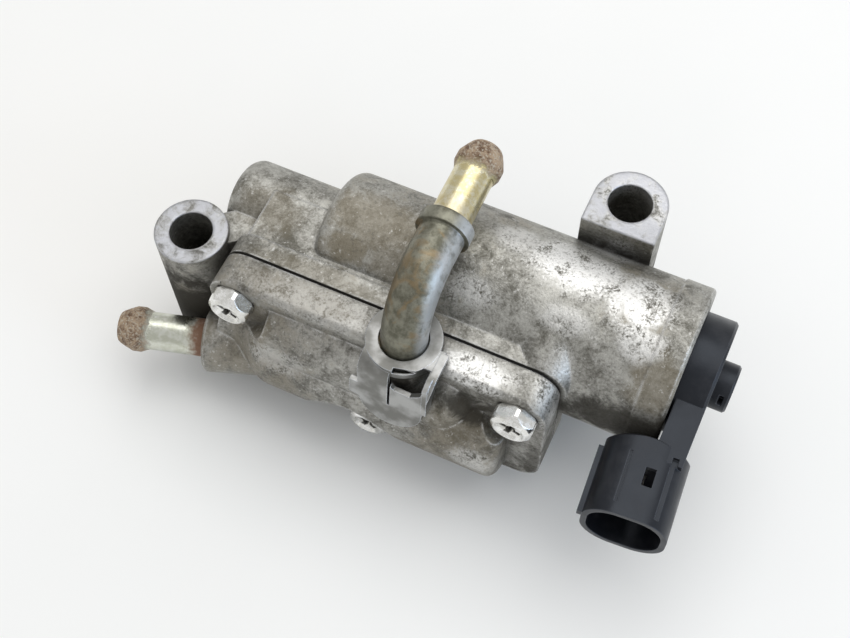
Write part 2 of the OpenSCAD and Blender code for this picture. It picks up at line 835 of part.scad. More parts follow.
module rotary_valve() {
    shutter_x0 = port_x2 - port_d / 2 - 1.5;
    shutter_x1 = chamber_x1 - 1;
    color(bronze) difference() {
        union() {
            axis_rod(valve_hub_d, port_mid_x - 2, shutter_x1);
            axis_sector(2.5, valve_r, port_direction, shutter_angle, shutter_x0, shutter_x0 + 1.4);
            axis_sector(2.5, valve_r, port_direction, shutter_angle, shutter_x1 - 1.4, shutter_x1);
            axis_sector(valve_r - 2, valve_r, port_direction, shutter_angle, shutter_x0, shutter_x1);
        }
        axis_rod(shaft_d, port_mid_x - 3, shutter_x1 + 1);
    }
}

module stop_lever() {
    color(steel_grey) difference() {
        union() {
            axis_rod(shaft_d + 2.6, lever_x, lever_x + 2);
            on_axis() translate([0, 0, lever_x]) rotate(lever_direction) translate([0, -0.8, 0])
                cube([5.2, 1.6, 2]);
        }
        axis_rod(shaft_d, lever_x - 1, lever_x + 3);
    }
}

module shaft_clip() {
    color(steel_grey) difference() {
        axis_ring(shaft_d + 2.4, shaft_d - 0.8, clip_x, clip_x + clip_t);
        translate([clip_x - 1, axis_y - 0.9, axis_z]) cube([3, 1.8, 5]);
    }
}

module front_bush() {
    color(bronze) axis_ring(bush_d, shaft_d + 2 * running_gap, bush_x0, chamber_x0);
}

module bearing_plate() {
    color(cast_grey) axis_ring(stator_bore_d, rear_bush_d, chamber_x1, chamber_x1 + plate_t);
}

module rear_bush() {
    color(bronze)
        axis_ring(rear_bush_d, shaft_d + 2 * running_gap, chamber_x1 - 0.5, chamber_x1 + plate_t + 1.5);
}

// Temperature spring

holder_x0 = lever_x - 4.2;
holder_in_r = thermo_bore_d / 2 - 0.6;

module bimetal_holder() {
    color(steel_grey) {
        axis_ring(thermo_bore_d, 2 * holder_in_r, holder_x0, lever_x - 0.3);
        // Stops for the lever at both ends of the rotor's travel
        for (a = [lever_direction - 24, lever_direction + rotor_range + 24])
            axis_sector(4.7, thermo_bore_d / 2 - 0.2, a, 16, lever_x - 0.8, lever_x + 2.2);
    }
}

// A flat spiral whose outer end touches the holder
module bimetal_strip() {
    t = 0.4;
    width = 2.5;
    turns = 2.25;
    r0 = shaft_d / 2 + 1.1;
    r1 = holder_in_r - t / 2;
    angles = [0:15:360 * turns];
    back = [360 * turns:-15:0];
    function spiral_r(a) = r0 + (r1 - r0) * a / (360 * turns);
    color([0.70, 0.62, 0.45]) on_axis() translate([0, 0, holder_x0 + 0.7]) linear_extrude(width)
        polygon(concat(
            [for (a = angles) (spiral_r(a) - t / 2) * [cos(a), sin(a)]],
            [for (a = back) (spiral_r(a) + t / 2) * [cos(a), sin(a)]]
        ));
}

valve_body();
water_cover();
cover_gasket();
cover_screw_left();
cover_screw_right();
cover_screw_bottom();
straight_nipple();
elbow_pipe();
elbow_hose_tube();
elbow_seal();
pipe_retainer();
end_cap();
end_cap_seal();
connector_pin_left();
connector_pin_middle();
connector_pin_right();
stator_yoke();
pole_piece_upper();
pole_piece_lower();
coil_bobbin_upper();
coil_bobbin_lower();
coil_upper();
coil_lower();
rotor_shaft();
rotor_magnet();
rotary_valve();
stop_lever();
shaft_clip();
front_bush();
rear_bush();
bearing_plate();
bimetal_strip();
bimetal_holder();
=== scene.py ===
"""Looks of the idle air control valve: materials, floor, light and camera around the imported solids."""
import math

import bmesh
import bpy
from mathutils import Matrix, Vector


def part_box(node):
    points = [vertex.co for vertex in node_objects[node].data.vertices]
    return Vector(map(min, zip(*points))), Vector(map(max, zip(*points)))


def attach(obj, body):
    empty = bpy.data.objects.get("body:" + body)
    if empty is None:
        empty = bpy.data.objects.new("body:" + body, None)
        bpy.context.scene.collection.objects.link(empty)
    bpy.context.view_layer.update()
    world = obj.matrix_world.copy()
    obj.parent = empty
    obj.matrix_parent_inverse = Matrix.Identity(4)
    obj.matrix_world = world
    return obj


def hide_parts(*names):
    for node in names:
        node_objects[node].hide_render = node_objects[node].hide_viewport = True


MM = 0.001
PHOTO_WIDTH = 850

# Camera of the photograph, in the part's frame
CAMERA_PLACE = Vector((100.2, -100.7, 248.1)) * MM
CAMERA_RIGHT = Vector((0.9066, 0.4217, -0.0151))
CAMERA_DOWN = Vector((0.3651, -0.8020, -0.4728))
FOCAL_PIXELS = 1298.56
SENSOR_WIDTH = 36.0

# Places on the part, in millimetres
SHORT_BOSS = (0.0, 0.0, 36.0)
TALL_EAR = (75.9, 34.9, 44.8)
ELBOW_TUBE_Y = 13.6
ELBOW_BEAD_Y = 24.6
NIPPLE_ROOT = (5.9, -10.4)
NIPPLE_Z = 13.8
NIPPLE_YAW = 16.0
NIPPLE_BEAD = 12.4

# Machined faces round the bolt holes: radius, and depth that still counts as the top
SHORT_FACE_RADIUS = 7.3
TALL_FACE_RADIUS = 14.0
FACE_DEPTH = 0.4

# Colours that both castings share
# Bright skin colour: worn metal and painted highlight
WORN_SKIN_AND_HIGHLIGHT = (0.86, 0.855, 0.84)
BARE_EDGE = (0.84, 0.84, 0.83)
CUT_FACE = (0.47, 0.48, 0.52)
SPECK = (0.085, 0.078, 0.062)
# Darkest colour: grime and painted shade
GRIME_AND_SHADE_COLOUR = (0.040, 0.036, 0.028)

# Wear, stains, grime and painted light on the castings by place, each as centre, radii and strength
BODY_WEAR_AND_PAINTED_LIGHT = {
    # Bright spots: worn metal and painted highlights
    "bright": [
        ((72, 19, 44), (11, 7, 5), 0.95), ((85, 16, 44), (7, 7, 5), 0.9), ((88, 9, 43), (5, 4, 4), 0.7),
        ((60, 20, 44), (6, 4, 4), 0.55), ((74, 8, 43), (6, 3, 3), 0.5),
        ((75, 3, 36), (5, 6, 5), 0.8), ((78, 37, 45), (9, 8, 4), 0.6),
        ((76, 26, 38), (7, 3, 7), 0.9), ((56, 6, 44), (6, 4, 4), 0.5),
    ],
    "brown": [
        ((30, 7, 40), (6, 4, 4), 0.75), ((40, 7, 40), (7, 4, 4), 0.5), ((93, 4, 40), (6, 7, 6), 0.6),
        ((12, 10, 36), (9, 6, 4), 0.4), ((30, 0, 38), (16, 3, 3), 0.35),
        ((33, 13, 43), (12, 8, 6), 0.6),
    ],
    # Dark spots: grime and painted shade on the lower and hidden sides and towards the bottom
    "dark": [
        ((0, -4, 15), (10, 8, 22), 1.0), ((90, -2, 30), (16, 6, 7), 0.85), ((72, -3, 27), (20, 4, 9), 0.8),
        ((75, 40, 20), (14, 16, 17), 0.75), ((98, 0, 30), (4, 8, 12), 0.85),
        ((40, 14, 6), (60, 30, 12), 0.6), ((23, 6, 33), (4, 3, 3), 0.35), ((72, 30, 30), (5, 4, 5), 0.35),
    ],
}
COVER_WEAR_AND_PAINTED_LIGHT = {
    # Bright spots: worn metal and painted highlights
    "bright": [
        ((30, -6, 38), (16, 4, 2.5), 0.22), ((62, -6, 38), (9, 4, 2.5), 0.8),
        ((76, -4, 34), (4, 5, 7), 0.85), ((24, -14, 26), (9, 4, 4), 0.3), ((66, -14, 20), (6, 4, 4), 0.45),
    ],
    "brown": [
        ((17, -11, 30), (7, 6, 6), 0.75), ((62, -12, 28), (9, 5, 6), 0.5), ((7, -10, 16), (4, 6, 7), 0.6),
        ((27, -5, 38.5), (14, 3, 2.5), 0.45), ((60, -15, 14), (16, 6, 6), 0.45),
    ],
    # Dark spots: grime and painted shade in the valleys of the cover and towards its bottom
    "dark": [
        ((14, -9, 28), (7, 3, 5), 0.5), ((60, -9.5, 30), (11, 3, 5), 0.85),
        ((50, -12.6, 36), (5, 2, 5), 0.95), ((40, -9, 31), (26, 2, 3), 0.5),
        ((40, -12, 7), (45, 12, 6), 0.6), ((77, -5, 14), (4, 8, 12), 0.6),
    ],
}

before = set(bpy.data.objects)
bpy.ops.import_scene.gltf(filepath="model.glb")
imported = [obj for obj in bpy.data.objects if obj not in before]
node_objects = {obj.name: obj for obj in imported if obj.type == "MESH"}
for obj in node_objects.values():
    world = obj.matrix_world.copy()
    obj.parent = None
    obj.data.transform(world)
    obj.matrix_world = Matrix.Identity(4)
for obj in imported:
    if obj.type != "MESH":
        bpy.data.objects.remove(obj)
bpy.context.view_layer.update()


class Graph:
    """Short calls for building one material's node tree."""

    def __init__(self, name):
        self.material = bpy.data.materials.new(name)
        self.material.use_nodes = True
        self.tree = self.material.node_tree
        self.shader = self.tree.nodes["Principled BSDF"]
        coordinates = self.tree.nodes.new("ShaderNodeTexCoord")
        scale = self.tree.nodes.new("ShaderNodeVectorMath")
        scale.operation = "SCALE"
        scale.inputs["Scale"].default_value = 1 / MM
        self.tree.links.new(coordinates.outputs["Object"], scale.inputs[0])
        self.place = scale.outputs[0]

    def put(self, socket, value):
        if isinstance(value, bpy.types.NodeSocket):
            self.tree.links.new(value, socket)
        else:
            socket.default_value = value

    def noise(self, size, detail=4, roughness=0.55, offset=0.0, distortion=0.0, place=None):
        """Noise whose blotches are about size millimetres."""
        node = self.tree.nodes.new("ShaderNodeTexNoise")
        node.noise_dimensions = "4D"
        self.put(node.inputs["Vector"], place or self.place)
        node.inputs["W"].default_value = offset
        node.inputs["Scale"].default_value = 1 / size
        node.inputs["Detail"].default_value = detail
        node.inputs["Roughness"].default_value = roughness
        node.inputs["Distortion"].default_value = distortion
        return node.outputs["Fac"]

    def math(self, operation, a, b=0.0):
        node = self.tree.nodes.new("ShaderNodeMath")
        node.operation = operation
        self.put(node.inputs[0], a)
        self.put(node.inputs[1], b)
        return node.outputs[0]

    def step(self, value, low, high, out_low=0.0, out_high=1.0):
        """Runs smoothly from out_low at low to out_high at high."""
        node = self.tree.nodes.new("ShaderNodeMapRange")
        node.interpolation_type = "SMOOTHSTEP"
        self.put(node.inputs["Value"], value)
        node.inputs["From Min"].default_value = low
        node.inputs["From Max"].default_value = high
        node.inputs["To Min"].default_value = out_low
        node.inputs["To Max"].default_value = out_high
        return node.outputs["Result"]

    def mix(self, factor, a, b):
        node = self.tree.nodes.new("ShaderNodeMix")
        node.data_type = "RGBA"
        self.put(node.inputs["Factor"], factor)
        self.put(node.inputs["A"], self.colour(a))
        self.put(node.inputs["B"], self.colour(b))
        return node.outputs["Result"]

    def blend_values(self, factor, a, b):
        node = self.tree.nodes.new("ShaderNodeMix")
        self.put(node.inputs["Factor"], factor)
        self.put(node.inputs["A"], a)
        self.put(node.inputs["B"], b)
        return node.outputs["Result"]

    @staticmethod
    def colour(value):
        if isinstance(value, tuple) and len(value) == 3:
            return (*value, 1.0)
        return value

    def split(self, vector):
        node = self.tree.nodes.new("ShaderNodeSeparateXYZ")
        self.put(node.inputs[0], vector)
        return node.outputs

    def spot(self, centre, radii, ragged, noise):
        """1 inside a blotch with a broken rim round a place on the part, and 0 outside it."""
        away = self.tree.nodes.new("ShaderNodeVectorMath")
        away.operation = "SUBTRACT"
        self.put(away.inputs[0], self.place)
        away.inputs[1].default_value = centre
        scaled = self.tree.nodes.new("ShaderNodeVectorMath")
        scaled.operation = "DIVIDE"
        self.put(scaled.inputs[0], away.outputs[0])
        scaled.inputs[1].default_value = radii
        length = self.tree.nodes.new("ShaderNodeVectorMath")
        length.operation = "LENGTH"
        self.put(length.inputs[0], scaled.outputs[0])
        shift = self.math("MULTIPLY", self.math("SUBTRACT", noise, 0.5), ragged)
        return self.step(self.math("ADD", length.outputs["Value"], shift), 1.1, 0.55)

    def spots(self, places, ragged, noise):
        """The strongest of several blotches, each given as centre, radii and strength."""
        total = None
        for centre, radii, strength in places:
            one = self.math("MULTIPLY", self.spot(centre, radii, ragged, noise), strength)
            total = one if total is None else self.math("MAXIMUM", total, one)
        return total

    def facing(self, direction, low, high):
        """Runs from 0 to 1 as a face turns towards a direction of the part."""
        node = self.tree.nodes.new("ShaderNodeVectorMath")
        node.operation = "DOT_PRODUCT"
        self.put(node.inputs[0], self.normal())
        node.inputs[1].default_value = direction
        return self.step(node.outputs["Value"], low, high)

    def scaled_place(self, factors):
        node = self.tree.nodes.new("ShaderNodeVectorMath")
        node.operation = "MULTIPLY"
        self.put(node.inputs[0], self.place)
        node.inputs[1].default_value = factors
        return node.outputs[0]

    def normal(self):
        node = self.tree.nodes.new("ShaderNodeNewGeometry")
        return node.outputs["Normal"]

    def recess(self, reach):
        """1 in narrow corners and 0 in the open, looking reach millimetres round."""
        node = self.tree.nodes.new("ShaderNodeAmbientOcclusion")
        node.samples = 8
        node.inputs["Distance"].default_value = reach * MM
        return self.math("SUBTRACT", 1.0, node.outputs["AO"])

    def rounded_normal(self, radius):
        node = self.tree.nodes.new("ShaderNodeBevel")
        node.samples = 6
        node.inputs["Radius"].default_value = radius * MM
        return node.outputs["Normal"]

    def edges(self, rounded):
        """1 along outer and inner edges, where the rounded normal turns from the true one."""
        node = self.tree.nodes.new("ShaderNodeVectorMath")
        node.operation = "DOT_PRODUCT"
        self.put(node.inputs[0], rounded)
        self.put(node.inputs[1], self.normal())
        return self.step(node.outputs["Value"], 0.995, 0.88)

    def bump(self, height, depth, normal=None):
        """Bump whose relief is depth millimetres, on a rounded normal where one is given."""
        node = self.tree.nodes.new("ShaderNodeBump")
        node.inputs["Strength"].default_value = 1.0
        node.inputs["Distance"].default_value = depth * MM
        self.put(node.inputs["Height"], height)
        if normal is not None:
            self.put(node.inputs["Normal"], normal)
        return node.outputs["Normal"]

    def finish(self, colour, roughness, metallic=0.0, normal=None, **more):
        self.put(self.shader.inputs["Base Color"], self.colour(colour))
        self.put(self.shader.inputs["Roughness"], roughness)
        self.put(self.shader.inputs["Metallic"], metallic)
        if normal is not None:
            self.put(self.shader.inputs["Normal"], normal)
        for socket, value in more.items():
            self.put(self.shader.inputs[socket.replace("_", " ")], value)
        return self.material


def disc_mask(g, centre, radius, z_low):
    """1 on faces over z_low within radius of an upright axis."""
    x, y, z = g.split(g.place)
    dx = g.math("SUBTRACT", x, centre[0])
    dy = g.math("SUBTRACT", y, centre[1])
    distance = g.math("SQRT", g.math("ADD", g.math("MULTIPLY", dx, dx), g.math("MULTIPLY", dy, dy)))
    near = g.math("LESS_THAN", distance, radius)
    return g.math("MULTIPLY", near, g.math("GREATER_THAN", z, z_low))


def cast_metal(name, pale, dark, stain, stain_share, recess_grime_and_shade, offset, wear_and_painted_light, machined=False):
    """Aged die casting: peppered grey skin with bright worn flecks and painted highlights, brown films, and
    grime with painted shade in its recesses and by place.
    """
    g = Graph(name)
    rounded = g.rounded_normal(0.8)
    edge_wear_and_highlight = g.edges(rounded)
    broad = g.noise(15, detail=3, offset=offset)
    blotch = g.noise(3.4, detail=8, roughness=0.7, offset=offset + 1, distortion=0.5)
    grain = g.noise(0.5, detail=4, roughness=0.75, offset=offset + 2)
    pepper = g.noise(0.9, detail=3, roughness=0.7, offset=offset + 3)
    tone = g.math("ADD", g.math("MULTIPLY", blotch, 0.46), g.math("MULTIPLY", broad, 0.26))
    tone = g.math("ADD", tone, g.math("MULTIPLY", grain, 0.28))
    colour = g.mix(g.step(tone, 0.39, 0.61), dark, pale)
    # Brown and olive films lie in broad patches that break up at their rims
    film = g.math("ADD", g.math("MULTIPLY", g.noise(22, detail=2, offset=offset + 4), 0.55),
                  g.math("MULTIPLY", blotch, 0.45))
    film = g.step(film, 0.62 - stain_share, 0.74 - stain_share, 0.0, 0.6)
    film = g.math("MAXIMUM", film, g.spots(wear_and_painted_light["brown"], 1.6, blotch))
    colour = g.mix(film, colour, stain)
    # Worn skin and painted highlights are bright and break up into flecks
    wear_and_highlight = g.spots(wear_and_painted_light["bright"], 1.9, blotch)
    flecks = g.math("ADD", g.math("MULTIPLY", grain, 0.45), g.math("MULTIPLY", blotch, 0.55))
    flecks = g.step(flecks, 0.40, 0.52)
    stray = g.math("MULTIPLY", g.step(pepper, 0.60, 0.68), 0.34)
    wear_and_highlight = g.math("MAXIMUM", g.math("MULTIPLY", wear_and_highlight, flecks), stray)
    colour = g.mix(wear_and_highlight, colour, WORN_SKIN_AND_HIGHLIGHT)
    # Dark specks of grime
    specks = g.step(pepper, 0.43, 0.36, 0.0, 0.36)
    colour = g.mix(specks, colour, SPECK)
    # Painted shade with grime: recesses and the dark spots by place darken to near black
    corner = g.recess(3.4)
    grime_and_shade = g.math("MULTIPLY", g.step(corner, 0.20, 0.72), g.step(blotch, 0.30, 0.60, 0.5, 1.0))
    grime_and_shade = g.math("MULTIPLY", grime_and_shade, recess_grime_and_shade)
    grime_and_shade = g.math("MAXIMUM", grime_and_shade, g.spots(wear_and_painted_light["dark"], 1.5, blotch))
    colour = g.mix(grime_and_shade, colour, GRIME_AND_SHADE_COLOUR)
    bare = g.math("MULTIPLY", edge_wear_and_highlight, g.step(g.noise(2.2, offset=offset + 5), 0.34, 0.58))
    bare = g.math("MULTIPLY", bare, g.step(corner, 0.45, 0.15))
    bare = g.math("MULTIPLY", bare, g.step(grime_and_shade, 0.9, 0.4))
    colour = g.mix(g.math("MULTIPLY", bare, 0.85), colour, BARE_EDGE)
    roughness = g.blend_values(wear_and_highlight, g.step(blotch, 0.3, 0.7, 0.54, 0.40), 0.30)
    roughness = g.blend_values(grime_and_shade, roughness, 0.85)
    roughness = g.blend_values(bare, roughness, 0.26)
    metallic = g.blend_values(g.math("MAXIMUM", film, grime_and_shade), 0.88, 0.30)
    if machined:
        short = disc_mask(g, SHORT_BOSS, SHORT_FACE_RADIUS, SHORT_BOSS[2] - FACE_DEPTH)
        tall = disc_mask(g, TALL_EAR, TALL_FACE_RADIUS, TALL_EAR[2] - FACE_DEPTH)
        cut = g.math("MULTIPLY", g.math("MAXIMUM", short, tall), g.step(blotch, 0.38, 0.56, 0.1, 0.95))
        colour = g.mix(g.math("MULTIPLY", cut, 0.85), colour, CUT_FACE)
        roughness = g.blend_values(cut, roughness, 0.32)
    height = g.math("ADD", g.math("MULTIPLY", grain, 0.55), g.math("MULTIPLY", blotch, 0.45))
    normal = g.bump(height, 0.20, rounded)
    return g.finish(colour, roughness, metallic, normal)


def zinc_steel(name, colour_a, colour_b, offset, rough=0.30):
    """Plated steel with a slight bloom of oxide, and grime with painted shade in its recess."""
    g = Graph(name)
    rounded = g.rounded_normal(0.22)
    bloom = g.noise(1.6, detail=5, roughness=0.65, offset=offset)
    colour = g.mix(g.step(bloom, 0.38, 0.64), colour_a, colour_b)
    # Painted shade with grime: the recess darkens to near black
    corner = g.recess(1.3)
    grime_and_shade = g.step(corner, 0.26, 0.62, 0.0, 0.95)
    colour = g.mix(grime_and_shade, colour, (0.035, 0.030, 0.022))
    roughness = g.blend_values(grime_and_shade, g.step(bloom, 0.3, 0.7, rough, rough + 0.18), 0.8)
    normal = g.bump(g.noise(0.35, detail=3, offset=offset + 1), 0.02, rounded)
    return g.finish(colour, roughness, g.blend_values(grime_and_shade, 1.0, 0.2), normal)


def hose_end(name, along, bead_at, offset, plate, bloom_colour, foot_rust):
    """Plating on the shank, rust on the bead from bead_at millimetres on, and some at the foot."""
    g = Graph(name)
    distance = along(g)
    rounded = g.rounded_normal(0.25)
    blotch = g.noise(1.3, detail=6, roughness=0.7, offset=offset)
    fine = g.noise(0.4, detail=3, offset=offset + 1)
    ragged = g.math("ADD", distance, g.math("MULTIPLY", g.math("SUBTRACT", blotch, 0.5), 5.0))
    rust = g.step(ragged, bead_at - 0.9, bead_at + 0.9)
    shank = g.mix(g.step(blotch, 0.40, 0.62), plate, bloom_colour)
    rusty = g.mix(g.step(blotch, 0.36, 0.60), (0.125, 0.070, 0.040), (0.40, 0.30, 0.205))
    rusty = g.mix(g.step(fine, 0.50, 0.62, 0.0, 0.75), rusty, (0.50, 0.45, 0.37))
    colour = g.mix(rust, shank, rusty)
    foot = g.step(ragged, 4.2, 1.4, 0.0, foot_rust)
    colour = g.mix(foot, colour, (0.20, 0.085, 0.04))
    cover = g.math("MAXIMUM", rust, foot)
    roughness = g.blend_values(cover, 0.27, 0.82)
    metallic = g.blend_values(cover, 1.0, 0.15)
    height = g.math("MULTIPLY", g.math("ADD", blotch, fine), g.blend_values(cover, 0.06, 1.0))
    return g.finish(colour, roughness, metallic, g.bump(height, 0.22, rounded))


def along_elbow(g):
    """Millimetres along the elbow's hose end, from where it leaves the collar."""
    y = g.split(g.place)[1]
    return g.math("SUBTRACT", y, ELBOW_TUBE_Y)


def along_nipple(g):
    """Millimetres along the nipple, from its root in the cover."""
    x, y, _ = g.split(g.place)
    yaw = math.radians(NIPPLE_YAW)
    run_x = g.math("MULTIPLY", g.math("SUBTRACT", NIPPLE_ROOT[0], x), math.cos(yaw))
    run_y = g.math("MULTIPLY", g.math("SUBTRACT", NIPPLE_ROOT[1], y), math.sin(yaw))
    return g.math("ADD", run_x, run_y)


def elbow_metal():
    """Bent pipe with an olive grey patina, tan and dark streaks along it and a scaly skin, with painted
    cool light on its right side and painted shade on its left and under sides.
    """
    g = Graph("elbow_patina_and_side_light")
    rounded = g.rounded_normal(0.5)
    blotch = g.noise(2.2, detail=6, roughness=0.66, offset=30)
    streak = g.noise(5.0, detail=4, offset=31, distortion=1.2)
    scale = g.noise(0.6, detail=4, roughness=0.7, offset=32)
    colour = g.mix(g.step(blotch, 0.36, 0.62), (0.118, 0.114, 0.084), (0.245, 0.240, 0.190))
    colour = g.mix(g.step(streak, 0.48, 0.60, 0.0, 0.7), colour, (0.24, 0.175, 0.095))
    colour = g.mix(g.step(scale, 0.56, 0.70, 0.0, 0.5), colour, (0.10, 0.095, 0.07))
    # Painted light: faces turned to the right are paler and cooler
    pale = g.math("MULTIPLY", g.facing((0.95, 0.25, 0.2), 0.45, 0.95), g.step(blotch, 0.35, 0.55, 0.4, 1.0))
    colour = g.mix(g.math("MULTIPLY", pale, 0.85), colour, (0.58, 0.61, 0.64))
    # Painted shade: faces turned left and down are darker
    low = g.math("MULTIPLY", g.facing((-0.85, -0.2, -0.3), 0.25, 0.95), 0.55)
    colour = g.mix(low, colour, (0.075, 0.068, 0.045))
    roughness = g.step(blotch, 0.3, 0.7, 0.50, 0.34)
    height = g.math("ADD", blotch, g.math("MULTIPLY", scale, 0.6))
    return g.finish(colour, roughness, 0.75, g.bump(height, 0.12, rounded))


def sheet_steel():
    """Smooth dull sheet with bright cut edges in a painted cool highlight, and dirt with painted shade in
    its corners.
    """
    g = Graph("retainer_sheet")
    rounded = g.rounded_normal(0.22)
    edge_wear_and_highlight = g.edges(rounded)
    cloud = g.noise(5.0, detail=4, roughness=0.5, offset=40)
    fine = g.noise(0.5, detail=3, roughness=0.6, offset=41)
    colour = g.mix(g.step(cloud, 0.38, 0.62), (0.20, 0.198, 0.185), (0.42, 0.42, 0.412))
    colour = g.mix(g.step(fine, 0.60, 0.74, 0.0, 0.4), colour, (0.22, 0.21, 0.19))
    # Painted shade with dirt: corners darken to near black
    corner = g.recess(1.8)
    colour = g.mix(g.step(corner, 0.40, 0.85, 0.0, 0.85), colour, (0.045, 0.04, 0.034))
    # Painted highlight: edges turn a bright cool grey
    colour = g.mix(g.math("MULTIPLY", edge_wear_and_highlight, 0.8), colour, (0.78, 0.82, 0.88))
    roughness = g.blend_values(edge_wear_and_highlight, g.step(cloud, 0.3, 0.7, 0.46, 0.36), 0.22)
    return g.finish(colour, roughness, 0.9, g.bump(g.math("ADD", cloud, fine), 0.03, rounded))


def black_plastic():
    """Glass-filled black moulding, a little dusty, with a soft cool sheen and painted cool highlights along
    its edges.
    """
    g = Graph("black_moulding")
    rounded = g.rounded_normal(0.3)
    edge_wear_and_highlight = g.edges(rounded)
    dust = g.noise(4.0, detail=6, roughness=0.62, offset=50)
    fine = g.noise(0.45, detail=2, offset=51)
    colour = g.mix(g.step(dust, 0.46, 0.70, 0.0, 0.5), (0.0070, 0.0074, 0.0100), (0.028, 0.028, 0.031))
    # Painted highlight: edges turn a cool grey
    colour = g.mix(g.math("MULTIPLY", edge_wear_and_highlight, 0.6), colour, (0.105, 0.112, 0.130))
    roughness = g.step(dust, 0.35, 0.7, 0.30, 0.46)
    return g.finish(colour, roughness, 0.0, g.bump(fine, 0.015, rounded), Specular_IOR_Level=0.41,
                    Specular_Tint=(0.80, 0.88, 1.0, 1.0))


def rubber(name, offset):
    """Dull black rubber with a fine grain."""
    g = Graph(name)
    fine = g.noise(0.5, detail=3, offset=offset)
    colour = g.mix(g.step(fine, 0.4, 0.65), (0.010, 0.010, 0.010), (0.028, 0.026, 0.024))
    return g.finish(colour, 0.75, 0.0, g.bump(fine, 0.02))


def turned_metal(name, pale, dark, offset, roughness=0.28):
    """Inner metal with faint tool marks across the rotor axis."""
    g = Graph(name)
    marks = g.noise(0.4, detail=2, offset=offset, place=g.scaled_place((1.0, 0.02, 0.02)))
    blotch = g.noise(3.0, detail=4, offset=offset + 1)
    colour = g.mix(g.step(blotch, 0.35, 0.65), dark, pale)
    return g.finish(colour, roughness, 1.0, g.bump(marks, 0.01))


def wound_wire():
    """Enamelled copper, as fine ridges that run round the pole."""
    g = Graph("wound_copper")
    z = g.split(g.place)[2]
    ridge = g.math("ABSOLUTE", g.math("SINE", g.math("MULTIPLY", z, math.pi / 0.3)))
    tint = g.noise(2.0, detail=3, offset=70)
    colour = g.mix(g.step(tint, 0.35, 0.65), (0.36, 0.12, 0.045), (0.58, 0.24, 0.10))
    return g.finish(colour, 0.32, 0.9, g.bump(ridge, 0.12))


def matte_moulding():
    """Dark moulding of the coils' bobbins."""
    g = Graph("bobbin_moulding")
    fine = g.noise(0.6, detail=2, offset=80)
    colour = g.mix(g.step(fine, 0.4, 0.6), (0.03, 0.03, 0.032), (0.055, 0.055, 0.055))
    return g.finish(colour, 0.5, 0.0, g.bump(fine, 0.01))


def magnet_stone():
    """Dark grainy ferrite of the rotor's magnet."""
    g = Graph("magnet_ferrite")
    fine = g.noise(0.5, detail=4, roughness=0.7, offset=85)
    colour = g.mix(g.step(fine, 0.38, 0.64), (0.045, 0.045, 0.048), (0.105, 0.10, 0.10))
    return g.finish(colour, 0.55, 0.2, g.bump(fine, 0.04))


def assign(material, *names):
    """Puts one material on every slot of the named nodes."""
    for name in names:
        slots = node_objects[name].material_slots
        if not slots:
            node_objects[name].data.materials.append(material)
        for slot in slots:
            slot.material = material


def dress_nodes():
    """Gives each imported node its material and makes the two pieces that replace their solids."""
    assign(
        cast_metal("casting", pale=(0.50, 0.492, 0.458), dark=(0.125, 0.119, 0.100),
                   stain=(0.195, 0.165, 0.110), stain_share=0.12, recess_grime_and_shade=0.95, offset=0,
                   wear_and_painted_light=BODY_WEAR_AND_PAINTED_LIGHT, machined=True),
        "valve_body",
    )
    cover_metal = cast_metal("cover_casting", pale=(0.49, 0.482, 0.452), dark=(0.125, 0.119, 0.102),
                             stain=(0.175, 0.148, 0.098), stain_share=0.12, recess_grime_and_shade=1.0, offset=9,
                             wear_and_painted_light=COVER_WEAR_AND_PAINTED_LIGHT)
    assign(cover_metal, "water_cover")
    finish_piece(make_cover(), cover_metal)
    assign(
        zinc_steel("screw_plating", (0.74, 0.73, 0.69), (0.95, 0.945, 0.93), 20, rough=0.15),
        "cover_screw_left", "cover_screw_right", "cover_screw_bottom",
    )
    assign(
        hose_end("elbow_hose_plating", along_elbow, ELBOW_BEAD_Y - ELBOW_TUBE_Y, 25,
                 (0.62, 0.54, 0.30), (0.72, 0.68, 0.52), foot_rust=0.12),
        "elbow_hose_tube",
    )
    assign(
        hose_end("nipple_plating", along_nipple, NIPPLE_BEAD, 27,
                 (0.55, 0.56, 0.47), (0.68, 0.69, 0.62), foot_rust=0.9),
        "straight_nipple",
    )
    assign(elbow_metal(), "elbow_pipe")
    sheet = sheet_steel()
    assign(sheet, "pipe_retainer")
    finish_piece(make_retainer(), sheet)
    assign(black_plastic(), "end_cap")
    assign(rubber("gasket_black", 55), "cover_gasket")
    assign(rubber("seal_black", 57), "elbow_seal", "end_cap_seal")
    assign(
        zinc_steel("contact_tin", (0.62, 0.61, 0.58), (0.80, 0.79, 0.75), 60, rough=0.22),
        "connector_pin_left", "connector_pin_middle", "connector_pin_right",
    )
    assign(
        turned_metal("stator_steel", (0.42, 0.42, 0.43), (0.26, 0.26, 0.27), 62, 0.4),
        "stator_yoke", "pole_piece_upper", "pole_piece_lower", "bimetal_holder",
    )
    assign(
        turned_metal("shaft_steel", (0.66, 0.66, 0.66), (0.50, 0.50, 0.50), 64, 0.2),
        "rotor_shaft", "stop_lever", "shaft_clip",
    )
    assign(turned_metal("valve_bronze", (0.62, 0.44, 0.22), (0.45, 0.31, 0.15), 66), "rotary_valve")
    assign(
        turned_metal("bush_bronze", (0.50, 0.34, 0.17), (0.36, 0.24, 0.12), 68, 0.4),
        "front_bush", "rear_bush",
    )
    assign(turned_metal("plate_aluminium", (0.60, 0.60, 0.60), (0.46, 0.46, 0.46), 72), "bearing_plate")
    assign(turned_metal("spring_strip", (0.55, 0.47, 0.33), (0.40, 0.34, 0.25), 74), "bimetal_strip")
    assign(wound_wire(), "coil_upper", "coil_lower")
    assign(matte_moulding(), "coil_bobbin_upper", "coil_bobbin_lower")
    assign(magnet_stone(), "rotor_magnet")


